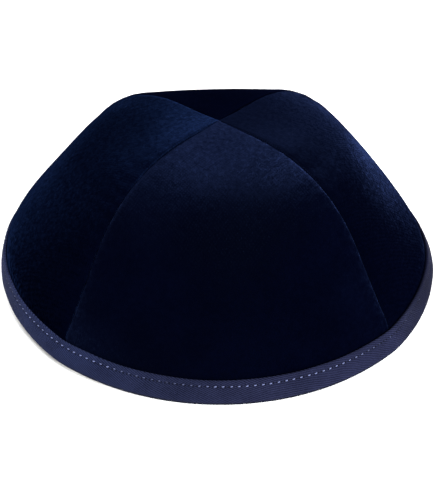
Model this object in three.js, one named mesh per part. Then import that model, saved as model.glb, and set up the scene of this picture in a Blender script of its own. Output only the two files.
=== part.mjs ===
// A velvet skullcap, in millimetres, +Z up and facing -Y.
// Four stiffened velvet panels meet in seams that cross at the top, and a folded tape binds the rim.
// The cap stands on the front and back of its rim, whose sides are lifted, and its origin is under its middle.
import * as THREE from "three";

// Sizes
const rimWidth = 172; // across the bound rim, side to side
const rimDepth = 175; // across the bound rim, front to back
const crownHeight = 65; // from the table to the crossing of the seams
const sideLift = 2.2; // how far the sides of the rim stand off the table
const panelCount = 4;
const crownWall = 2; // velvet on its stiff backing
const crownEdgeWall = 1.2; // the same wall pressed flat inside the binding
const crownInset = 0.25; // how far the velvet lies inside the skin that the binding's face follows
const bindingWidth = 8.7; // of tape on the outside, and as much on the inside
const bindingCloth = 0.9;
const bindingSettle = 0.35; // how much of the fold is flattened where it meets the table
const clearance = 0.3; // between the crown's edge and the binding
const seamGap = 0.3; // between two panels
const seamDip = 0.8; // how far the velvet rolls in at a seam
const shoulder = 3; // from the binding's edge up to where the crown has its full wall
const crossingStand = 0.4; // how far the tip of a panel stops short of the crossing

// Shapes, as shares of the sizes above
// The middle of a panel, from the crossing to the rim: x of the rim's radius, y of the crown's height.
const profile = new THREE.CubicBezierCurve(
  new THREE.Vector2(0, 1),
  new THREE.Vector2(0.355, 1),
  new THREE.Vector2(0.43, 1.122),
  new THREE.Vector2(1, 0),
);

// How far a seam stands out at each distance from the crossing, as a share of a panel's middle.
const seamTable = [
  { out: 0, stand: 1.056 },
  { out: 0.12, stand: 1.122 },
  { out: 0.25, stand: 1.169 },
  { out: 0.38, stand: 1.194 },
  { out: 0.5, stand: 1.204 },
  { out: 0.62, stand: 1.161 },
  { out: 0.75, stand: 1.089 },
  { out: 0.88, stand: 1.045 },
  { out: 1, stand: 1.013 },
];

// How far the middle of a panel swells past the profile, half way out and low down, as shares of the rim's radius.
const panelTable = [
  { name: "panel_front", half: 0.028, low: -0.018, facing: -90 },
  { name: "panel_right", half: 0.04, low: 0.012, facing: 0 },
  { name: "panel_back", half: -0.023, low: 0, facing: 90 },
  { name: "panel_left", half: -0.04, low: 0.082, facing: 180 },
];

// Where a panel's columns stand between its middle (0) and its seam (1), and how much of the seam's dip each has.
const columnTable = [
  { aside: 0, dip: 0 },
  { aside: 0.17, dip: 0 },
  { aside: 0.33, dip: 0 },
  { aside: 0.5, dip: 0 },
  { aside: 0.65, dip: 0 },
  { aside: 0.8, dip: 0 },
  { aside: 0.92, dip: 0.05 },
  { aside: 0.97, dip: 0.35 },
  { aside: 1, dip: 1 },
];

const crownRows = 16; // from the shoulder to the crossing
const sliceSteps = 80; // in the measured length of an upright slice
const foldSteps = 6; // round the binding's fold
const fadeOfDip = 10; // the dip fades out over this distance next to the crossing and the binding

// Colours
const velvet = new THREE.MeshStandardMaterial({ color: 0x0b1330, roughness: 0.95, metalness: 0 });
const tape = new THREE.MeshStandardMaterial({ color: 0x2b3158, roughness: 0.85, metalness: 0 });

// Worked out from the sizes
const halfTurn = Math.PI / panelCount;
const boundRadius = (rimWidth + rimDepth) / 4;
const ovalShare = (rimWidth - rimDepth) / (rimWidth + rimDepth);
const rimSlope = Math.atan2(crownHeight * profile.v2.y, boundRadius * (1 - profile.v2.x));
const foldRadius = bindingCloth + clearance + crownEdgeWall / 2;
// The skin runs on to an edge, a little further out than the round fold that follows it.
const rimRadius = boundRadius + foldRadius * (Math.sin(rimSlope) + Math.cos(rimSlope) - 1);
// The skin's edge is this high at the front and back, where the fold under it is flattened on the table.
const edgeStand = foldRadius * (1 - Math.sin(rimSlope) + Math.cos(rimSlope)) - bindingSettle;

const seamStand = new THREE.CubicInterpolant(
  seamTable.map((row) => row.out),
  seamTable.map((row) => row.stand),
  1,
);

// The columns of one panel from seam to seam, each turned off the panel's middle by an angle.
const columns = [
  ...columnTable.slice(1).reverse().map(({ aside, dip }) => ({ off: -aside * halfTurn, dip })),
  ...columnTable.map(({ aside, dip }) => ({ off: aside * halfTurn, dip })),
];

// A level section of the crown is an arc over each panel. This is the arc's distance from the axis, at an angle
// off the panel's middle, where the middle is 1 away and the seams are `stand` away.
function archReach(off, stand) {
  const centre = (1 - stand ** 2) / (2 * (1 - stand * Math.cos(halfTurn)));
  const radius = 1 - centre;
  return centre * Math.cos(off) + Math.sqrt(radius ** 2 - (centre * Math.sin(off)) ** 2);
}

// The outer skin over one panel, at an angle off its middle and a place on the profile from crossing (0) to rim (1).
function skin(panel, off, place) {
  const { x: out, y: up } = profile.getPoint(place);
  const turn = THREE.MathUtils.degToRad(panel.facing) + off;
  const oval = 1 + ovalShare * Math.cos(2 * turn) * out ** 2;
  const fullness = panel.half * Math.sin(Math.PI * out) ** 2 + panel.low * Math.sin(Math.PI * out ** 3);
  const swell = fullness * Math.cos((off * panelCount) / 2);
  const rimLevel = edgeStand + (sideLift * (1 + Math.cos(2 * turn))) / 2;
  return new THREE.Vector2(
    rimRadius * (out * archReach(off, seamStand.evaluate(out)[0]) * oval + swell),
    THREE.MathUtils.lerp(rimLevel, crownHeight, up),
  );
}

// An upright slice through the skin, measured from the rim upwards. Its function `at` gives the reach and height
// of a point some distance along the slice and some distance inside the skin.
function slice(panel, off) {
  const places = Array.from({ length: sliceSteps + 1 }, (_, i) => 1 - i / sliceSteps);
  const points = places.map((place) => skin(panel, off, place));
  const lengths = [0];
  for (let i = 1; i < points.length; i++) lengths.push(lengths[i - 1] + points[i].distanceTo(points[i - 1]));

  function at(along, inset) {
    let i = 0;
    while (i < sliceSteps - 1 && lengths[i + 1] < along) i++;
    const share = (along - lengths[i]) / (lengths[i + 1] - lengths[i]);
    const point = points[i].clone().lerp(points[i + 1], share);
    const before = points[Math.max(i - 1, 0)].clone().lerp(points[i], share);
    const after = points[i + 1].clone().lerp(points[Math.min(i + 2, sliceSteps)], share);
    const uphill = after.sub(before).normalize();
    return new THREE.Vector2(point.x - inset * uphill.y, point.y + inset * uphill.x);
  }

  return { length: lengths[sliceSteps], at };
}

// A closed mesh through rings that all have as many points. Either the last ring is joined to the first one, or
// the two end rings are filled in.
function loft(rings, endless) {
  const across = rings[0].length;
  const index = [];
  const strips = endless ? rings.length : rings.length - 1;
  for (let i = 0; i < strips; i++) {
    const next = (i + 1) % rings.length;
    for (let j = 0; j < across; j++) {
      const a = i * across + j;
      const b = i * across + ((j + 1) % across);
      const c = next * across + ((j + 1) % across);
      const d = next * across + j;
      index.push(a, b, c, a, c, d);
    }
  }
  if (!endless) {
    // Each end ring runs out along one face and back along the other, so it is filled in rung by rung.
    const top = (rings.length - 1) * across;
    for (let j = 0; j < across / 2 - 1; j++) {
      const back = across - 1 - j;
      index.push(j, back, j + 1, back, back - 1, j + 1);
      index.push(top + j, top + j + 1, top + back, top + back, top + j + 1, top + back - 1);
    }
  }
  const positions = rings.flat().flatMap((point) => point.toArray());
  const geometry = new THREE.BufferGeometry();
  geometry.setAttribute("position", new THREE.Float32BufferAttribute(positions, 3));
  geometry.setIndex(index);
  geometry.computeVertexNormals();
  return geometry;
}

// The rows of a panel, from its edge inside the binding to the crossing. Each row says how far along the slice it
// is, how far inside the skin the velvet lies there, and how thick the wall is.
function panelRows(length) {
  const underTape = bindingCloth + clearance;
  const rows = [
    { along: underTape, inset: underTape, wall: crownEdgeWall },
    { along: bindingWidth / 2, inset: underTape, wall: crownEdgeWall },
    { along: bindingWidth, inset: underTape, wall: crownEdgeWall },
  ];
  const start = bindingWidth + shoulder;
  for (let i = 0; i <= crownRows; i++) {
    const along = THREE.MathUtils.lerp(start, length - crossingStand, i / crownRows);
    rows.push({ along, inset: crownInset, wall: crownWall });
  }
  return rows;
}

// How much of the seam's dip is left: none inside the binding, and less and less towards the crossing.
function dipShare(along, reach) {
  const overTape = THREE.MathUtils.smoothstep(along, bindingWidth, bindingWidth + fadeOfDip);
  return overTape * Math.min(1, reach / fadeOfDip);
}

// A point turned off the panel's middle. The columns are squeezed a little, so that the outermost one keeps half
// the seam's gap from the seam.
function turned(panel, off, point, gap) {
  const squeeze = 1 - Math.asin(gap / 2 / point.x) / halfTurn;
  const turn = THREE.MathUtils.degToRad(panel.facing) + off * squeeze;
  return new THREE.Vector3(point.x * Math.cos(turn), point.x * Math.sin(turn), point.y);
}

function makePanel(panel) {
  const slices = columns.map(({ off, dip }) => {
    const cut = slice(panel, off);
    return panelRows(cut.length).map(({ along, inset, wall }) => {
      const dipHere = dip * seamDip * dipShare(along, cut.at(along, inset).x);
      const outer = cut.at(along, inset + dipHere);
      const inner = cut.at(along, inset + wall);
      return { outer: turned(panel, off, outer, seamGap), inner: turned(panel, off, inner, seamGap) };
    });
  });
  const rings = slices[0].map((_, row) => [
    ...slices.map((column) => column[row].outer),
    ...slices.map((column) => column[row].inner).reverse(),
  ]);
  const mesh = new THREE.Mesh(loft(rings, false), velvet);
  mesh.name = panel.name;
  return mesh;
}

// The binding's section, as distances along the slice and inside the skin: up the inner leg, down into the channel
// that holds the crown's edge, up again and down the outer leg, and round the fold.
function bindingSection() {
  const thickness = 2 * foldRadius;
  const section = [
    { along: bindingWidth, inset: thickness },
    { along: bindingWidth, inset: thickness - bindingCloth },
    { along: bindingCloth, inset: thickness - bindingCloth },
    { along: bindingCloth, inset: bindingCloth },
    { along: bindingWidth, inset: bindingCloth },
    { along: bindingWidth, inset: 0 },
    { along: (bindingWidth + foldRadius) / 2, inset: 0 },
  ];
  for (let i = 0; i <= foldSteps; i++) {
    const angle = (Math.PI * i) / foldSteps;
    section.push({
      along: foldRadius * (1 - Math.sin(angle)),
      inset: foldRadius * (1 - Math.cos(angle)),
    });
  }
  section.push({ along: (bindingWidth + foldRadius) / 2, inset: thickness });
  return section;
}

function makeBinding() {
  const section = bindingSection();
  const rings = panelTable.flatMap((panel) =>
    columns.slice(0, -1).map(({ off }) => {
      const cut = slice(panel, off);
      return section.map(({ along, inset }) => {
        const point = cut.at(along, inset);
        point.y = Math.max(point.y, 0);
        return turned(panel, off, point, 0);
      });
    }),
  );
  const mesh = new THREE.Mesh(loft(rings, true), tape);
  mesh.name = "rim_binding";
  return mesh;
}

const skullcap = new THREE.Group();
for (const panel of panelTable) skullcap.add(makePanel(panel));
skullcap.add(makeBinding());

export default skullcap;
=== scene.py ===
import math

import bpy
import numpy as np
from mathutils import Matrix, Quaternion, Vector, noise
from mathutils.bvhtree import BVHTree


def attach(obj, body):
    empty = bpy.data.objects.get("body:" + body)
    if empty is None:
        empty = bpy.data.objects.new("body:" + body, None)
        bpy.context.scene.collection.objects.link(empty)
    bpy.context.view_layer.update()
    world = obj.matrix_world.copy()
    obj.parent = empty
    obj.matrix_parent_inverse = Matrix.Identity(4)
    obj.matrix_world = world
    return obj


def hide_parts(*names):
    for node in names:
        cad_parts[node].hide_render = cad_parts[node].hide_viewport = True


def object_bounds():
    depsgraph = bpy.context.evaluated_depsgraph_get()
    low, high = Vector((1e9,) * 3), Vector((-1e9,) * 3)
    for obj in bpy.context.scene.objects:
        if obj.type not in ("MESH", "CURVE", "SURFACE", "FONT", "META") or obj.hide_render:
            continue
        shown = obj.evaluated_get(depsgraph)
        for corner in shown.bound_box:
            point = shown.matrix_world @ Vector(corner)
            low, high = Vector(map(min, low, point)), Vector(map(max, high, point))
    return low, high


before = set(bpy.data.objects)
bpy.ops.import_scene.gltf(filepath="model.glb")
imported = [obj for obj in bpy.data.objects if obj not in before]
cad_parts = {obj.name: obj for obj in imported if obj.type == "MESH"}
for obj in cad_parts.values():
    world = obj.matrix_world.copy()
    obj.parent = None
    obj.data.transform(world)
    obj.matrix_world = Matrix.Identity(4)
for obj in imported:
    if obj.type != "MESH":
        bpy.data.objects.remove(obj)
cadLow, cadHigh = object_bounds()
print("frame loaded")

halfPanel = math.pi / 4  # half of a panel's turn
tiny = 1e-6  # keeps points on the axis from a division by zero


# Camera, at the photo's angle

view = {
    "azimuth": -4.16,  # degrees
    "elevation": 35.36,
    "roll": 0.66,
    "distance": 0.524,
    "target": (0, 0, 0.0062),
    "lens": 94.95,
    "farthest": 20,  # metres, so that the floor's end is still in the picture
}


def makeCamera():
    a, e = math.radians(view["azimuth"]), math.radians(view["elevation"])
    back = Vector((math.sin(a) * math.cos(e), -math.cos(a) * math.cos(e), math.sin(e)))
    place = Vector(view["target"]) + back * view["distance"]
    turn = (-back).to_track_quat("-Z", "Y") @ Quaternion((0, 0, 1), math.radians(view["roll"]))
    bpy.ops.object.camera_add(location=place, rotation=turn.to_euler())
    camera = bpy.context.active_object
    camera.data.lens = view["lens"]
    camera.data.clip_end = view["farthest"]
    bpy.context.scene.camera = camera


makeCamera()


# Helpers for meshes

def deselectAll():
    for item in bpy.context.selected_objects:
        item.select_set(False)


def makeActive(piece):
    deselectAll()
    piece.select_set(True)
    bpy.context.view_layer.objects.active = piece


def applyModifier(piece, kind, **settings):
    makeActive(piece)
    modifier = piece.modifiers.new(kind.lower(), kind)
    for key, value in settings.items():
        setattr(modifier, key, value)
    bpy.ops.object.modifier_apply(modifier=modifier.name)


def getPoints(piece):
    flat = np.empty(len(piece.data.vertices) * 3)
    piece.data.vertices.foreach_get("co", flat)
    return flat.reshape(-1, 3)


def setPoints(piece, points):
    piece.data.vertices.foreach_set("co", points.ravel())
    piece.data.update()


def getNormals(piece):
    flat = np.empty(len(piece.data.vertices) * 3)
    piece.data.vertex_normals.foreach_get("vector", flat)
    return flat.reshape(-1, 3)


def setAttribute(piece, name, values):
    values = np.asarray(values, np.float32)
    kind, field = ("FLOAT", "value") if values.ndim == 1 else ("FLOAT_VECTOR", "vector")
    attribute = piece.data.attributes.new(name, kind, "POINT")
    attribute.data.foreach_set(field, values.ravel())


def getAttribute(piece, name):
    values = np.empty(len(piece.data.vertices), np.float32)
    piece.data.attributes[name].data.foreach_get("value", values)
    return values.astype(float)


def smoothstep(values, start, end):
    share = np.clip((values - start) / (end - start), 0, 1)
    return share * share * (3 - 2 * share)


# Smooth noise from about -1 to 1, with lumps of the given size
def noiseAt(points, size, shift=0.0):
    offset = Vector((shift, shift * 0.7, -shift))
    return np.array([noise.noise(Vector(p) / size + offset) for p in points])


squares = {"mergeWithin": 0.00001, "faceAngle": 70, "shapeAngle": 60}  # metres, degrees


# A merged copy of a solid in squares, ready to be shaped
def copyOfNode(nodeName, pieceName):
    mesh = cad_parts[nodeName].data.copy()
    mesh.materials.clear()
    piece = bpy.data.objects.new(pieceName, mesh)
    bpy.context.scene.collection.objects.link(piece)
    makeActive(piece)
    if mesh.has_custom_normals:
        bpy.ops.mesh.customdata_custom_splitnormals_clear()
    bpy.ops.object.mode_set(mode="EDIT")
    bpy.ops.mesh.select_all(action="SELECT")
    bpy.ops.mesh.remove_doubles(threshold=squares["mergeWithin"])
    bpy.ops.mesh.tris_convert_to_quads(face_threshold=math.radians(squares["faceAngle"]),
                                       shape_threshold=math.radians(squares["shapeAngle"]))
    bpy.ops.object.mode_set(mode="OBJECT")
    return piece


def creaseSharpEdges(piece, angle, amount):
    makeActive(piece)
    bpy.ops.object.mode_set(mode="EDIT")
    bpy.ops.mesh.select_mode(type="EDGE")
    bpy.ops.mesh.select_all(action="DESELECT")
    bpy.ops.mesh.edges_select_sharp(sharpness=math.radians(angle))
    bpy.ops.transform.edge_crease(value=amount)
    bpy.ops.mesh.select_all(action="DESELECT")
    bpy.ops.object.mode_set(mode="OBJECT")


def finishPiece(piece, slot, *nodes):
    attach(piece, "root")
    if nodes:
        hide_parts(*nodes)


# Crown panels

crown = {
    "facing": {"panel_front": -90, "panel_right": 0, "panel_back": 90, "panel_left": 180},  # degrees
    "levels": 3,
    "creaseAngle": 55,  # degrees
    "smoothAngle": 60,
    "outerFacing": 0.7,  # how squarely a face of the outer side looks away from the hollow
    "slope": 0.75,  # way along the wall for each metre down

    "halfGap": 0.00015,  # between a panel's edge and the seam, in the solids
    "meet": (0.0001, 0.00002),  # what is left of it here, near the crossing and further down
    "meetReach": (0.030, 0.042),
    "closeOver": 0.0012,
    "tipReach": 0.0004,
    "tipPull": 0.9,
    "rollWidth": 0.0011,  # the cloth turning down into a seam
    "rollDepth": 0.00045,
    "rollFrom": (0.0005, 0.006),  # it sets in between these reaches

    "puckerPitch": 0.0075,
    "puckerDepth": 0.00016,
    "puckerReach": 0.007,
    "puckerLumps": 0.02,
    "puckerWander": 0.6,
    "puckerShift": 0.3,  # between the two sides of a seam
    "puckerStart": 0.0015,
    "puckerFrom": (0.012, 0.035),
    "puckerLessBehind": 0.7,
    "puckerBehind": 0.01,

    "overTape": (0.010, 0.020),  # heights between which the cloth gets free of the tape
    "swayLumps": 0.034,
    "sway": 0.00025,
    "swayFromSeam": 0.02,
    # how far out from the axis a panel is fuller, and by how much
    "fuller": {
        "panel_right": ((0.046, 0.0015), (0.078, 0.0006)),
        "panel_back": ((0.030, -0.0003),),
        "panel_left": ((0.046, 0.0011), (0.060, 0.0007)),
    },
    "fullerReach": 0.009,
    "fullerFromSeam": 0.012,
    "backSeamFill": 0.0005,
    "backSeamReach": 0.004,
    "backFrom": (0.004, 0.02),

    "edgeLay": 0.65,  # the pile on the roll leans back into its panel
    "edgeLayFromSeam": 0.0003,
    "edgeLayReach": (0.004, 0.016, 0.040, 0.052),
    "edgeLayShare": (0, 1, 1, 0.15),
}

# At the right side the tape and the cloth just above it stand a little more upright.
upright = {
    "turn": -7,  # degrees from the right side towards the back
    "spread": 17,
    "heights": (0.0015, 0.0100, 0.0145, 0.0215),  # none below and above, and all of it in between
    "amount": 0.0012,
}


# The outer face gets the value 1 and the inner face 0, and what subdivision adds a share of them
def markOuterSide(piece):
    outer = np.zeros(len(piece.data.vertices))
    for face in piece.data.polygons:
        if face.normal.dot(face.center.normalized()) > crown["outerFacing"]:
            outer[list(face.vertices)] = 1
    setAttribute(piece, "outer", outer)


# How far each point is from the axis, how far it is turned from the panel's middle,
# how far it is from the nearer seam, and which way that seam lies
def fromSeam(points, facing):
    reach = np.hypot(points[:, 0], points[:, 1])
    turn = np.arctan2(points[:, 1], points[:, 0]) - facing
    turn = (turn + math.pi) % (2 * math.pi) - math.pi
    side = np.sign(turn)
    seamTurn = facing + side * halfPanel
    towards = np.stack([-side * np.sin(seamTurn), side * np.cos(seamTurn), np.zeros(len(points))], axis=1)
    return reach, turn, reach * np.sin(halfPanel - np.abs(turn)), towards


# Turn from the front in degrees, -180 to 180 and growing towards the right, from a turn in radians
def turnFromFront(turn):
    return np.degrees((turn + math.pi / 2 + math.pi) % (2 * math.pi) - math.pi)


# Level directions away from the axis, one for each point
def awayFromAxis(points):
    reach = np.hypot(points[:, 0], points[:, 1])
    return points * np.array([1, 1, 0]) / np.maximum(reach, tiny)[:, None]


# Way down the wall from the crossing
def wayDown(points, reach):
    return reach + (cadHigh.z - points[:, 2]) * crown["slope"]


def standUpright(points):
    turn = np.degrees(np.arctan2(points[:, 1], points[:, 0]))
    share = np.exp(-((turn - upright["turn"]) / upright["spread"]) ** 2)
    share *= smoothstep(np.interp(points[:, 2], upright["heights"], (0, 1, 1, 0)), 0, 1)
    return points + awayFromAxis(points) * (upright["amount"] * share)[:, None]


def shapePanel(piece, nodeName):
    facing = math.radians(crown["facing"][nodeName])
    points, normals = getPoints(piece), getNormals(piece)
    outer = getAttribute(piece, "outer")
    reach, turn, toSeam, towards = fromSeam(points, facing)
    overTape = smoothstep(points[:, 2], *crown["overTape"])
    outward = np.where(outer[:, None] > 0.5, normals, -normals)

    # The two panels of a seam meet, and so do the four tips.
    meet = np.interp(reach, crown["meetReach"], crown["meet"])
    closing = (crown["halfGap"] - meet) * np.exp(-(toSeam - crown["halfGap"]) / crown["closeOver"])
    moved = points + towards * closing[:, None]
    beyondTip = np.maximum(reach - crown["tipReach"], 0)
    pull = crown["tipReach"] * crown["tipPull"] * np.exp(-beyondTip / crown["closeOver"])
    moved -= awayFromAxis(points) * np.minimum(pull, reach * crown["tipPull"])[:, None]

    # The outer face turns down into the seam.
    near = np.clip(1 - toSeam / crown["rollWidth"], 0, 1)
    roll = crown["rollDepth"] * (1 - np.sqrt(1 - near**2)) * outer
    moved -= outward * (roll * smoothstep(reach, *crown["rollFrom"]))[:, None]

    # The stitching draws small puckers along the seam, and the stiff cloth sways a little.
    wander = crown["puckerWander"] * noiseAt(points, crown["puckerLumps"], shift=facing)
    step = wayDown(points, reach) / crown["puckerPitch"] + wander + crown["puckerShift"] * np.sign(turn)
    pucker = crown["puckerDepth"] * np.sin(2 * math.pi * step)
    pucker *= np.exp(-toSeam / crown["puckerReach"]) * smoothstep(toSeam, 0, crown["puckerStart"])
    pucker *= smoothstep(reach, *crown["puckerFrom"])
    pucker *= 1 - crown["puckerLessBehind"] * smoothstep(points[:, 1], 0, crown["puckerBehind"])
    sway = crown["sway"] * noiseAt(points, crown["swayLumps"], shift=3 + facing)
    sway *= smoothstep(toSeam, 0, crown["swayFromSeam"])
    for middle, amount in crown["fuller"].get(nodeName, ()):
        bulge = amount * np.exp(-((reach - middle) / crown["fullerReach"]) ** 2)
        sway += bulge * smoothstep(toSeam, 0, crown["fullerFromSeam"])
    fill = crown["backSeamFill"] * np.exp(-(toSeam / crown["backSeamReach"]) ** 2)
    fill *= smoothstep(points[:, 1], *crown["backFrom"])
    moved += outward * ((pucker + sway + fill) * overTape)[:, None]
    setPoints(piece, standUpright(moved))


# How far and which way the pile leans (x, y) over all of a panel, and in each place where a hand
# brushed it: the way down from the crossing, the way across, the reach in metres, and the lean it adds
pile = {
    "panel_front": {
        "lean": (-0.25, 0.33),
        "brushed": (
            (0.018, 0.0, 0.010, 0.0, -0.12),  # beside the crossing, a little forward
            (0.038, -0.010, 0.014, 0.10, 0.50),  # the shoulder, towards the crown
            (0.038, 0.016, 0.016, -0.10, 0.70),
            (0.065, 0.005, 0.020, -0.55, 0.15),  # the face, to the left
            (0.095, -0.040, 0.022, 0.40, -0.50),  # the lower corners, forward
            (0.095, 0.045, 0.018, 0.30, -0.20),
        ),
    },
    "panel_right": {
        "lean": (-0.70, 0.0),
        "brushed": (
            (0.024, -0.016, 0.012, 0.0, 0.50),  # beside the crossing
            (0.052, 0.0, 0.016, -0.15, 0.30),  # the shoulder
            (0.050, -0.032, 0.010, 0.15, 0.35),  # by the front seam
            (0.080, -0.010, 0.020, -0.20, 0.35),  # the face
            (0.056, 0.028, 0.022, 0.10, 0.50),  # towards the back
        ),
    },
    "panel_back": {
        "lean": (0.0, -0.45),
        "brushed": (
            (0.010, 0.0, 0.030, 0.0, -0.35),  # at the crossing
        ),
    },
    "panel_left": {
        "lean": (0.70, 0.25),
        "brushed": (
            (0.038, -0.008, 0.032, 0.35, -0.33),  # the shoulder
            (0.082, 0.0, 0.016, -0.30, -0.15),  # the face
            (0.082, -0.058, 0.015, 0.25, -0.40),  # low, by the back seam
            (0.050, 0.028, 0.015, 0.15, -0.10),  # by the front seam
        ),
    },
}


def brushPile(piece, nodeName):
    points = getPoints(piece)
    reach, turn, toSeam, towards = fromSeam(points, math.radians(crown["facing"][nodeName]))
    down, across = wayDown(points, reach), reach * np.sin(turn)
    lean = np.tile((*pile[nodeName]["lean"], 0.0), (len(points), 1))
    for placeDown, placeAcross, size, *push in pile[nodeName]["brushed"]:
        share = np.exp(-((down - placeDown) ** 2 + (across - placeAcross) ** 2) / size ** 2)
        lean += share[:, None] * np.array([*push, 0.0])
    lay = crown["edgeLay"] * np.interp(reach, crown["edgeLayReach"], crown["edgeLayShare"])
    lay *= 1 - smoothstep(toSeam, crown["edgeLayFromSeam"], crown["rollWidth"])
    lean -= towards * lay[:, None]
    setAttribute(piece, "pile", lean)


def makePanel(nodeName):
    piece = copyOfNode(nodeName, nodeName.replace("panel", "velvet"))
    markOuterSide(piece)
    creaseSharpEdges(piece, angle=crown["creaseAngle"], amount=1)
    applyModifier(piece, "SUBSURF", levels=crown["levels"], render_levels=crown["levels"])
    shapePanel(piece, nodeName)
    brushPile(piece, nodeName)
    bpy.ops.object.shade_smooth_by_angle(angle=math.radians(crown["smoothAngle"]))
    finishPiece(piece, "velvet", nodeName)
    print(piece.name, "made with", len(piece.data.polygons), "faces")
    return piece


panels = {nodeName: makePanel(nodeName) for nodeName in crown["facing"]}


# Binding

tape = {
    "levels": 2,
    "creaseAngle": 60,  # degrees
    "crease": 0.45,
    "smoothAngle": 75,
    "longStep": 0.002,  # radians, above which a step round the ring is cut
    "ringCuts": 3,
    "width": 0.0087,
    "thick": 0.0036,  # through both legs
    "faceDepth": 0.0005,
    "stitchBelow": 0.0021,  # from the tape's upper edge down to the stitches
    "grooveWidth": 0.0009,
    "grooveDepth": 0.00022,
    "pillow": 0.0001,  # the tape swells between two stitches
    "ripple": 0.00016,
    "rippleLumps": 0.012,
    "rippleReach": 0.0865,  # the rim's radius
    "rippleAcross": 20,  # ripples are shorter across the tape than along it
    "rippleFrom": (0.0005, 0.004),
    "swell": 0.0003,  # the outer face stands a little fuller
    "settleHeight": 0.004,
    "sliceWidth": 0.0002,  # radians
    "edgeBand": 0.001,  # what is nearer to the upper edge is rounding
}

# Turn in degrees from the front, and how light the tape is painted there: painted light towards the left,
# painted shade towards the right side
tapePaintedLightTable = [
    (-180, 1.0), (-85, 1.65), (-60, 1.5), (-30, 0.9), (-20, 0.68),
    (45, 0.7), (65, 0.25), (100, 0.15), (140, 0.7), (180, 1.0),
]

# Turn in degrees from the front, and the share of red and blue beside green in the tape's painted light and
# shade
tapeHueTable = [
    (-40, 0.8, 1.13), (5, 0.96, 1.05), (55, 0.96, 1.1), (78, 0.85, 2.0), (92, 0.85, 2.0), (120, 0.8, 1.13),
]

stitch = {
    "pitch": 0.0029,
    "length": 0.00138,
    "thick": 0.00042,
    "rise": 0.00034,
    "taper": 0.5,  # thinner towards both ends
    "dive": 1.6,  # the ends dive into the cloth
    "sink": 0.75,  # of its rise, where it hardly shows
    "slant": 9,  # degrees
    "slantUneven": 6,
    "uneven": 0.12,  # of the pitch, along the row
    "wander": 0.00012,  # up and down
    "showUneven": 0.4,
    "lookFrom": 0.12,  # metres from the axis, outside the ring
}

# Turn in degrees from the front, and how much nearer to the upper edge the row runs there
stitchRiseTable = [(-180, 0), (-80, 0.0002), (-50, 0.0004), (-25, 0.0003), (-5, 0), (180, 0)]


# For each upright slice of the ring: its turn, its outer upper edge, and the way down its face
def sectionTable(piece):
    points = getPoints(piece)
    turns = np.round(np.arctan2(points[:, 1], points[:, 0]), 4)  # one value for each slice
    rows = []
    for turn in np.unique(turns):
        here = points[np.abs(turns - turn) < tape["sliceWidth"]]
        flat = np.stack([np.hypot(here[:, 0], here[:, 1]), here[:, 2]], axis=1)
        top = flat[flat[:, 1].argmax()]
        away = np.linalg.norm(flat - top, axis=1)
        face = flat[(flat[:, 0] > top[0]) & (away > tape["edgeBand"])]
        middle = face[np.linalg.norm(face - top, axis=1).argmin()]
        rows.append([turn, *top, *((middle - top) / np.linalg.norm(middle - top))])
    return np.array(rows)


# The table's values at a turn: the upper edge's reach and height, and the way down as reach and height
def rowAt(turn, table):
    return [np.interp(turn, table[:, 0], table[:, k], period=2 * math.pi) for k in range(1, 5)]


# How far each point is turned, how far it is below the tape's upper edge, and how deep behind its face
def onSection(points, table):
    turn = np.arctan2(points[:, 1], points[:, 0])
    topReach, topHeight, downReach, downHeight = rowAt(turn, table)
    out = np.hypot(points[:, 0], points[:, 1]) - topReach
    up = points[:, 2] - topHeight
    below = out * downReach + up * downHeight
    deep = out * downHeight - up * downReach
    return turn, below, deep


# Finer along the ring, where the stitches need it
def cutRound(piece):
    makeActive(piece)
    points = getPoints(piece)
    turn = np.arctan2(points[:, 1], points[:, 0])
    ends = np.array([edge.vertices[:] for edge in piece.data.edges])
    step = np.abs((turn[ends[:, 0]] - turn[ends[:, 1]] + math.pi) % (2 * math.pi) - math.pi)
    bpy.ops.object.mode_set(mode="EDIT")
    bpy.ops.mesh.select_mode(type="EDGE")
    bpy.ops.mesh.select_all(action="DESELECT")
    bpy.ops.object.mode_set(mode="OBJECT")
    piece.data.edges.foreach_set("select", step > tape["longStep"])
    bpy.ops.object.mode_set(mode="EDIT")
    bpy.ops.mesh.subdivide(number_cuts=tape["ringCuts"], quadcorner="INNERVERT")
    bpy.ops.object.mode_set(mode="OBJECT")


# The stitches pull a groove into both faces, the cloth ripples a little, and the rim settles on the table.
def shapeTape(piece, turn, below, deep):
    points, normals = getPoints(piece), getNormals(piece)
    outside = np.clip(1 - deep / tape["faceDepth"], 0, 1)
    inside = np.clip(1 - (tape["thick"] - deep) / tape["faceDepth"], 0, 1)
    line = np.exp(-((below - tape["stitchBelow"]) / tape["grooveWidth"]) ** 2)
    pillow = 0.5 - 0.5 * np.cos(turn * stitch["count"])  # 0 on a stitch, 1 half way to the next one
    dent = line * (tape["grooveDepth"] - tape["pillow"] * pillow) * np.maximum(outside, inside)
    around = np.stack([np.cos(turn), np.sin(turn), below * tape["rippleAcross"]], axis=1)
    ripple = tape["ripple"] * noiseAt(around * tape["rippleReach"], tape["rippleLumps"], shift=8)
    ripple *= smoothstep(points[:, 2], *tape["rippleFrom"])
    moved = points + normals * (ripple - dent + tape["swell"] * outside)[:, None]
    lowest = moved[:, 2].min()
    moved[:, 2] -= lowest * (1 - smoothstep(moved[:, 2], 0, tape["settleHeight"]))
    setPoints(piece, standUpright(moved))


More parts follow.
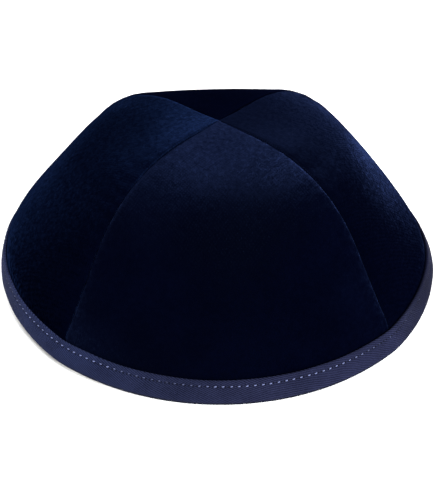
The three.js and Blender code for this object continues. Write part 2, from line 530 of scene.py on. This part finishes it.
# The twill follows the tape: u counts ribs round the ring, and v counts them across the tape
def writeTapeMap(piece, turn, below, deep):
    around = turn / (2 * math.pi) * twill["ribsRound"]
    across = np.where(deep < tape["thick"] / 2, below, 2 * tape["width"] - below) / twill["ribAcross"]
    layer = piece.data.uv_layers.new(name="tape")
    corners = np.empty(len(piece.data.loops), np.int32)
    piece.data.loops.foreach_get("vertex_index", corners)
    u, v = around[corners], across[corners]
    starts = np.array([face.loop_start for face in piece.data.polygons])
    sizes = np.array([face.loop_total for face in piece.data.polygons])
    first = np.repeat(u[starts], sizes)
    u -= np.round((u - first) / twill["ribsRound"]) * twill["ribsRound"]
    layer.data.foreach_set("uv", np.stack([u, v], axis=1).astype(np.float32).ravel())


# Paints light and shade into the tape's colour by its turn: lighter at the left, darker towards the right
# side
def paintTapeLightAndShade(piece, turn):
    fromFront = turnFromFront(turn)
    shade = np.interp(fromFront, *zip(*tapePaintedLightTable))
    hueTurns, red, blue = zip(*tapeHueTable)
    red, blue = np.interp(fromFront, hueTurns, red), np.interp(fromFront, hueTurns, blue)
    setAttribute(piece, "tint", np.stack([shade * red, shade, shade * blue], axis=1))


def makeTape():
    piece = copyOfNode("rim_binding", "tape_binding")
    table = sectionTable(piece)
    creaseSharpEdges(piece, angle=tape["creaseAngle"], amount=tape["crease"])
    applyModifier(piece, "SUBSURF", levels=tape["levels"], render_levels=tape["levels"])
    cutRound(piece)
    turn, below, deep = onSection(getPoints(piece), table)
    shapeTape(piece, turn, below, deep)
    writeTapeMap(piece, turn, below, deep)
    paintTapeLightAndShade(piece, turn)
    makeActive(piece)
    bpy.ops.object.shade_smooth_by_angle(angle=math.radians(tape["smoothAngle"]))
    finishPiece(piece, "binding", "rim_binding")
    print(piece.name, "made with", len(piece.data.polygons), "faces")
    return piece, table


rimRound = math.pi * (cadHigh.x - cadLow.x)  # metres
twill = {
    "ribsRound": 320,
    "ribAcross": 0.00070,
    "ribWander": 2.5,  # ribs
    "wanderLumps": 0.011,
    "crossings": 5,  # threads beside each other on a rib
    "ribShare": 0.7,
    "patchLumps": 0.009,
    "speckLumps": 0.0009,
    "toneShares": (0.45, 0.35, 0.2),  # of the weave, the patches and the specks
    "toneRange": (0.2, 0.8),
    "dark": (0.0008, 0.0012, 0.0060),
    "light": (0.0142, 0.0160, 0.0405),
    # Painted shade in the needle holes beside the stitches and along the fold at the bottom
    "holePlace": 0.55,  # of a stitch's length from its middle
    "holeReach": (0.00018, 0.0005),
    "holeShade": 0.35,
    "foldReach": (0.0002, 0.0013),
    "foldShade": 0.1,
    "bump": (0.5, 0.0003),
}
stitch["count"] = round(rimRound / stitch["pitch"])
binding, bindingTable = makeTape()


# Stitches

# Turn in degrees from the front, and how much of the thread shows above the cloth
threadTable = [
    (-180, 0.6), (-140, 0.35), (-105, 0.5), (-75, 0.35), (-60, 0.85), (-34, 1.0),
    (-26, 0.3), (-10, 0.3), (-4, 0.9), (10, 1.0), (26, 1.0), (34, 0.6),
    (41, 0.1), (70, 0.0), (95, 0.3), (120, 0.6), (150, 0.4), (180, 0.6),
]


# One stitch lying along X on the XY plane
def stitchBody():
    bpy.ops.mesh.primitive_uv_sphere_add(segments=10, ring_count=7, radius=0.5, rotation=(0, math.pi / 2, 0))
    body = bpy.context.active_object
    bpy.ops.object.transform_apply(rotation=True)
    points = getPoints(body)
    points[:, 1] *= 1 - stitch["taper"] * points[:, 0] ** 2
    points *= np.array([stitch["length"], stitch["thick"], 2 * stitch["rise"]])
    points[:, 2] -= stitch["rise"] * stitch["dive"] * (points[:, 0] / stitch["length"] * 2) ** 4
    faces = sorted(face.vertices[:] for face in body.data.polygons)  # their own order changes with each run
    bpy.data.objects.remove(body)
    return points, faces


# Uneven as handwork is, from about -1 to 1, and the same in each run
def unevenness(i, pace, shift):
    return noise.noise(Vector((i * pace, shift, 0)))


# Where a stitch of the outer or inner row lies on the binding, and how much of it shows
def stitchPlace(i, inner, bvh):
    jitter = unevenness(i, 0.77, 3.1)
    turn = 2 * math.pi * (i + stitch["uneven"] * unevenness(i, 0.91, 7.7)) / stitch["count"]
    turn = (turn + math.pi) % (2 * math.pi) - math.pi
    fromFront = turnFromFront(turn)
    _, topHeight, downReach, downHeight = rowAt(turn, bindingTable)
    below = tape["stitchBelow"] - np.interp(fromFront, *zip(*stitchRiseTable)) + stitch["wander"] * jitter
    height = topHeight + downHeight * below
    out = Vector((math.cos(turn), math.sin(turn), 0))
    if inner:
        height -= tape["thick"] * downReach
        place, normal, _, _ = bvh.ray_cast(Vector((0, 0, height)), out)
    else:
        place, normal, _, _ = bvh.ray_cast(Vector((0, 0, height)) + out * stitch["lookFrom"], -out)
    show = np.clip(np.interp(fromFront, *zip(*threadTable)) + stitch["showUneven"] * jitter, 0, 1)
    along = Vector((-math.sin(turn), math.cos(turn), 0))
    along = (along - normal * along.dot(normal)).normalized()
    spin = Matrix((along, normal.cross(along), normal)).transposed().to_4x4()
    spin = Matrix.Translation(place - normal * stitch["rise"] * (stitch["sink"] * (1 - show))) @ spin
    slant = math.radians(stitch["slant"] + stitch["slantUneven"] * jitter)
    return spin @ Matrix.Rotation(slant, 4, "Z"), show


def makeStitches(name, inner):
    bvh = BVHTree.FromObject(binding, bpy.context.evaluated_depsgraph_get())
    body, faces = stitchBody()
    allPoints, allFaces, shows = [], [], []
    for i in range(stitch["count"]):
        spin, show = stitchPlace(i, inner, bvh)
        allFaces += [[len(allPoints) + k for k in face] for face in faces]
        allPoints += [spin @ Vector(p) for p in body]
        shows += [show] * len(body)
    mesh = bpy.data.meshes.new(name)
    mesh.from_pydata(allPoints, [], allFaces)
    piece = bpy.data.objects.new(name, mesh)
    bpy.context.scene.collection.objects.link(piece)
    setAttribute(piece, "show", shows)
    makeActive(piece)
    bpy.ops.object.shade_smooth()
    finishPiece(piece, "binding")
    print(name, "made with", stitch["count"], "stitches")
    return piece


stitches = [makeStitches("stitches_outer", inner=False), makeStitches("stitches_inner", inner=True)]


# Materials

def newGroup(name, inputs, outputs):
    group = bpy.data.node_groups.new(name, "ShaderNodeTree")
    for label, kind in inputs:
        group.interface.new_socket(label, in_out="INPUT", socket_type=kind)
    for label, kind in outputs:
        group.interface.new_socket(label, in_out="OUTPUT", socket_type=kind)
    return group, group.nodes.new("NodeGroupInput"), group.nodes.new("NodeGroupOutput")


def addNode(tree, kind, **settings):
    node = tree.nodes.new(kind)
    for key, value in settings.items():
        setattr(node, key, value)
    return node


# Links an output or sets a value, and leaves the input alone where none is given
def feed(tree, socket, value):
    if isinstance(value, bpy.types.NodeSocket):
        tree.links.new(value, socket)
    elif value is not None:
        socket.default_value = value


def addMath(tree, operation, a, b=None):
    node = addNode(tree, "ShaderNodeMath", operation=operation)
    feed(tree, node.inputs[0], a)
    feed(tree, node.inputs[1], b)
    return node.outputs[0]


def addVectorMath(tree, operation, a, b=None, scale=None):
    node = addNode(tree, "ShaderNodeVectorMath", operation=operation)
    feed(tree, node.inputs[0], a)
    feed(tree, node.inputs[1], b)
    if scale is not None:
        feed(tree, node.inputs["Scale"], scale)
    return node.outputs["Value" if operation == "LENGTH" else "Vector"]


def joinXYZ(tree, x, y):
    node = addNode(tree, "ShaderNodeCombineXYZ")
    tree.links.new(x, node.inputs[0])
    tree.links.new(y, node.inputs[1])
    return node.outputs[0]


# Noise with lumps of the given size in metres, as a value and as a colour
def addNoise(tree, vector, size, detail=2.0, roughness=0.5):
    node = addNode(tree, "ShaderNodeTexNoise")
    node.inputs["Scale"].default_value = 1 / size
    node.inputs["Detail"].default_value = detail
    node.inputs["Roughness"].default_value = roughness
    tree.links.new(vector, node.inputs["Vector"])
    return node.outputs["Fac"], node.outputs["Color"]


def addRange(tree, value, low, high, toLow=0.0, toHigh=1.0):
    node = addNode(tree, "ShaderNodeMapRange", interpolation_type="SMOOTHSTEP")
    for socket, setting in zip(node.inputs, (value, low, high, toLow, toHigh)):
        feed(tree, socket, setting)
    return node.outputs[0]


# Inputs 6 and 7 of this node are its two colours
def addMix(tree, factor, dark, light):
    node = addNode(tree, "ShaderNodeMix", data_type="RGBA")
    feed(tree, node.inputs[0], factor)
    feed(tree, node.inputs[6], (*dark, 1))
    feed(tree, node.inputs[7], (*light, 1))
    return node.outputs[2]


# A wave from 0 to 1 that comes back at each whole number
def addRipple(tree, value):
    turned = addMath(tree, "SINE", addMath(tree, "MULTIPLY", value, 2 * math.pi))
    return addMath(tree, "ADD", addMath(tree, "MULTIPLY", turned, 0.5), 0.5)


# The sum of some values, each times its share
def addShares(tree, values, shares):
    parts = [addMath(tree, "MULTIPLY", value, share) for value, share in zip(values, shares)]
    total = parts[0]
    for part in parts[1:]:
        total = addMath(tree, "ADD", total, part)
    return total


def addWave(tree, vector, direction, scale, distortion, detail, detailScale):
    node = addNode(tree, "ShaderNodeTexWave", bands_direction=direction)
    for label, value in (("Scale", scale), ("Distortion", distortion), ("Detail", detail),
                         ("Detail Scale", detailScale)):
        node.inputs[label].default_value = value
    tree.links.new(vector, node.inputs["Vector"])
    return node.outputs["Fac"]


# Lifts the surface by a height map, over a normal where one is given, and puts it on the shader
def addBump(tree, shader, height, strength, distance, normal=None):
    bump = addNode(tree, "ShaderNodeBump")
    bump.inputs["Strength"].default_value = strength
    bump.inputs["Distance"].default_value = distance
    tree.links.new(height, bump.inputs["Height"])
    if normal is not None:
        tree.links.new(normal, bump.inputs["Normal"])
    tree.links.new(bump.outputs["Normal"], shader.inputs["Normal"])


def newMaterial(name, **constants):
    material = bpy.data.materials.new(name)
    material.use_nodes = True
    shader = material.node_tree.nodes["Principled BSDF"]
    for label, value in constants.items():
        shader.inputs[label.replace("_", " ")].default_value = value
    return material, material.node_tree, shader


def addGroup(tree, group, **values):
    node = addNode(tree, "ShaderNodeGroup", node_tree=group)
    for label, value in values.items():
        feed(tree, node.inputs[label], value)
    return node


nap = {
    "broadLumps": 0.022,
    "fineLumps": 0.0022,
    "hairLumps": 0.0005,
    "ruffleLumps": 0.0016,
    "weave": {"scale": 480, "distortion": 5, "detail": 2, "detailScale": 1.2},
    "broadLean": (0.25, 0.75, 0.9, 1.1),  # the pile leans by 0.9 to 1.1 of its lean from place to place
    "weaveLean": (0.0, 0.9, 0.74, 1.34),
    "patchShares": (0.6, 0.4),  # of the broad and the fine lumps
    "grainShares": (0.5, 0.5),  # of the fine lumps and the hairs
}


# Velvet pile leans as it was brushed, and is ruffled in soft patches and along the backing's weave
def makeNapGroup():
    group, given, put = newGroup("velvetNap", [
        ("Place", "NodeSocketVector"), ("Normal", "NodeSocketVector"),
        ("Pile", "NodeSocketVector"), ("Ruffle", "NodeSocketFloat"),
    ], [("Normal", "NodeSocketVector"), ("Patches", "NodeSocketFloat"), ("Grain", "NodeSocketFloat")])
    place = given.outputs["Place"]
    broad, _ = addNoise(group, place, nap["broadLumps"], detail=2, roughness=0.5)
    fine, _ = addNoise(group, place, nap["fineLumps"], detail=3, roughness=0.7)
    hair, _ = addNoise(group, place, nap["hairLumps"], detail=1)
    _, ruffled = addNoise(group, place, nap["ruffleLumps"], detail=2, roughness=0.7)
    level = [addVectorMath(group, "MULTIPLY", place, (1, way, 0)) for way in (1, -1)]
    threads = [addWave(group, where, "DIAGONAL", **nap["weave"]) for where in level]
    mottle = addMath(group, "MULTIPLY", *threads)
    lean = addMath(group, "MULTIPLY", addRange(group, broad, *nap["broadLean"]),
                   addRange(group, mottle, *nap["weaveLean"]))
    leaned = addVectorMath(group, "ADD", given.outputs["Normal"],
                           addVectorMath(group, "SCALE", given.outputs["Pile"], scale=lean))
    centred = addVectorMath(group, "SUBTRACT", ruffled, (0.5, 0.5, 0.5))
    shaken = addVectorMath(group, "SCALE", centred, scale=given.outputs["Ruffle"])
    normal = addVectorMath(group, "NORMALIZE", addVectorMath(group, "ADD", leaned, shaken))
    group.links.new(normal, put.inputs["Normal"])
    group.links.new(addShares(group, (broad, fine), nap["patchShares"]), put.inputs["Patches"])
    group.links.new(addShares(group, (fine, hair), nap["grainShares"]), put.inputs["Grain"])
    return group


napGroup = makeNapGroup()

velvet = {
    "dark": (0.0001, 0.0002, 0.0014),
    "light": (0.0002, 0.0004, 0.0024),
    "ruffle": {"panel_front": 0.75, "panel_right": 0.6, "panel_back": 0.4, "panel_left": 0.65},
    "tint": {
        "panel_front": (0.18, 0.31, 1),
        "panel_right": (0.18, 0.31, 1),
        "panel_back": (0.15, 0.25, 1),
        "panel_left": (0.12, 0.28, 1),
    },
    "sheen": 0.081,
    "sheenRoughness": 0.4,
    "patches": (0.35, 0.68),
    "bump": (0.35, 0.0004),
}


def makeVelvet(nodeName):
    material, tree, shader = newMaterial(
        nodeName.replace("panel", "velvet"), Roughness=0.95, Specular_IOR_Level=0.0,
        Sheen_Weight=velvet["sheen"], Sheen_Roughness=velvet["sheenRoughness"],
        Sheen_Tint=(*velvet["tint"][nodeName], 1))
    place = addNode(tree, "ShaderNodeTexCoord").outputs["Object"]
    normal = addNode(tree, "ShaderNodeNewGeometry").outputs["Normal"]
    brushed = addNode(tree, "ShaderNodeAttribute", attribute_name="pile").outputs["Vector"]
    ruffle = velvet["ruffle"][nodeName]
    lying = addGroup(tree, napGroup, Place=place, Normal=normal, Pile=brushed, Ruffle=ruffle)
    addBump(tree, shader, lying.outputs["Grain"], *velvet["bump"], normal=lying.outputs["Normal"])
    patches = addRange(tree, lying.outputs["Patches"], *velvet["patches"])
    tree.links.new(addMix(tree, patches, velvet["dark"], velvet["light"]), shader.inputs["Base Color"])
    return material


# The plain woven backing inside the crown
backing = {
    "threads": {"scale": 260, "distortion": 1.5, "detail": 2, "detailScale": 1.0},
    "patchLumps": 0.02,
    "toneShares": (0.6, 0.4),  # of the weave and the patches
    "dark": (0.002, 0.0025, 0.007),
    "light": (0.006, 0.0075, 0.018),
    "bump": (0.4, 0.0002),
    "innerFacing": -0.3,  # how squarely a face of the inner side looks into the hollow
}


def makeBacking():
    material, tree, shader = newMaterial("backing_cloth", Roughness=0.9, Specular_IOR_Level=0.05)
    place = addNode(tree, "ShaderNodeTexCoord").outputs["Object"]
    threads = [addWave(tree, place, way, **backing["threads"]) for way in ("X", "Y")]
    weave = addMath(tree, "MULTIPLY", *threads)
    patches, _ = addNoise(tree, place, backing["patchLumps"], detail=3)
    tone = addShares(tree, (weave, patches), backing["toneShares"])
    tree.links.new(addMix(tree, tone, backing["dark"], backing["light"]), shader.inputs["Base Color"])
    addBump(tree, shader, weave, *backing["bump"])
    return material


def makeTwill():
    material, tree, shader = newMaterial(
        "twill_tape", Roughness=0.9, Specular_IOR_Level=0.04,
        Sheen_Weight=0.01, Sheen_Roughness=0.5, Sheen_Tint=(0.5, 0.55, 1.0, 1))
    uv = addNode(tree, "ShaderNodeUVMap", uv_map="tape").outputs["UV"]
    place = addNode(tree, "ShaderNodeTexCoord").outputs["Object"]
    split = addNode(tree, "ShaderNodeSeparateXYZ")
    tree.links.new(uv, split.inputs[0])
    around, across = split.outputs["X"], split.outputs["Y"]
    wander, _ = addNoise(tree, place, twill["wanderLumps"], detail=2)
    rib = addRipple(tree, addMath(tree, "ADD", addMath(tree, "SUBTRACT", around, across),
                                  addMath(tree, "MULTIPLY", wander, twill["ribWander"])))
    threads = addMath(tree, "MULTIPLY", around, twill["crossings"])
    crossing = addRipple(tree, addMath(tree, "ADD", threads, across))
    patches, _ = addNoise(tree, place, twill["patchLumps"], detail=4, roughness=0.6)
    specks, _ = addNoise(tree, place, twill["speckLumps"], detail=2, roughness=0.7)
    height = addShares(tree, (rib, crossing), (twill["ribShare"], 1 - twill["ribShare"]))
    tone = addShares(tree, (height, patches, specks), twill["toneShares"])
    colour = addMix(tree, addRange(tree, tone, *twill["toneRange"]), twill["dark"], twill["light"])

    # Painted shade in the needle holes beside each stitch, and painted shade along the fold at the bottom
    down = addMath(tree, "MULTIPLY", across, twill["ribAcross"])
    along = addMath(tree, "MULTIPLY", around, rimRound / twill["ribsRound"])
    fromStitch = addMath(tree, "PINGPONG", along, rimRound / stitch["count"] / 2)
    fromHole = addVectorMath(tree, "LENGTH", joinXYZ(
        tree, addMath(tree, "SUBTRACT", fromStitch, stitch["length"] * twill["holePlace"]),
        addMath(tree, "SUBTRACT", down, tape["stitchBelow"])))
    holes = addRange(tree, fromHole, *twill["holeReach"], twill["holeShade"], 1.0)
    fromFold = addMath(tree, "ABSOLUTE", addMath(tree, "SUBTRACT", down, tape["width"]))
    fold = addRange(tree, fromFold, *twill["foldReach"], twill["foldShade"], 1.0)
    # The tint attribute carries the tape's painted light and shade
    tint = addNode(tree, "ShaderNodeAttribute", attribute_name="tint").outputs["Vector"]
    tinted = addVectorMath(tree, "MULTIPLY", colour, tint)
    shaded = addVectorMath(tree, "SCALE", tinted, scale=addMath(tree, "MULTIPLY", holes, fold))
    tree.links.new(shaded, shader.inputs["Base Color"])
    addBump(tree, shader, height, *twill["bump"])
    return material


# Painted shade where the thread sinks into the cloth, and the thread's own colour on it
thread = {"dark": (0.006, 0.0075, 0.020), "light": (0.085, 0.10, 0.19)}  # sunk into the cloth, and on it


# Where a stitch sinks into the cloth it is also painted darker, as painted shade
def makeThread():
    material, tree, shader = newMaterial("stitch_thread", Roughness=0.6, Specular_IOR_Level=0.1)
    show = addNode(tree, "ShaderNodeAttribute", attribute_name="show").outputs["Fac"]
    tree.links.new(addMix(tree, show, thread["dark"], thread["light"]), shader.inputs["Base Color"])
    return material


def paint(piece, *materials):
    piece.data.materials.clear()
    for material in materials:
        piece.data.materials.append(material)


backingCloth = makeBacking()
for nodeName, piece in panels.items():
    paint(piece, makeVelvet(nodeName), backingCloth)
    for face in piece.data.polygons:
        face.material_index = int(face.normal.dot(face.center.normalized()) < backing["innerFacing"])
paint(binding, makeTwill())
stitchThread = makeThread()
for piece in stitches:
    paint(piece, stitchThread)
print("materials made")


# Floor and light

studio = {
    "floorSize": 8.0,
    "floorBelow": 0.00005,
    "floorTone": 0.9,
    "world": 0.5,
    "lightSize": 0.9,
    "lightAway": 1.4,
    "lightAim": 0.03,  # height of the point that the lights face
    # side in degrees from the front, height in degrees, power in watts
    "lights": {
        "frontRight": (36, 20, 61),
        "front": (0, 18, 9),
        "backLeft": (-135, 52, 22),
        "back": (180, 52, 11),
    },
}


def addLight(name, side, height, power):
    a, e = math.radians(side), math.radians(height)
    away = Vector((math.sin(a) * math.cos(e), -math.cos(a) * math.cos(e), math.sin(e)))
    place = away * studio["lightAway"] + Vector((0, 0, studio["lightAim"]))
    turn = (-away).to_track_quat("-Z", "Y")
    bpy.ops.object.light_add(type="AREA", location=place, rotation=turn.to_euler())
    light = bpy.context.active_object
    light.name = name
    light.data.shape = "DISK"
    light.data.size = studio["lightSize"]
    light.data.energy = power


def makeStudio():
    bpy.ops.mesh.primitive_plane_add(size=studio["floorSize"], location=(0, 0, -studio["floorBelow"]))
    floor = bpy.context.active_object
    floor.name = "floor"
    tone = studio["floorTone"]
    material, _, _ = newMaterial("pale_floor", Base_Color=(tone, tone, tone, 1), Roughness=0.8)
    floor.data.materials.append(material)
    world = bpy.data.worlds.new("studio")
    world.use_nodes = True
    world.node_tree.nodes["Background"].inputs["Color"].default_value = (1, 1, 1, 1)
    world.node_tree.nodes["Background"].inputs["Strength"].default_value = studio["world"]
    bpy.context.scene.world = world
    for name, values in studio["lights"].items():
        addLight(name, *values)
    bpy.context.scene.view_settings.view_transform = "Standard"


makeStudio()
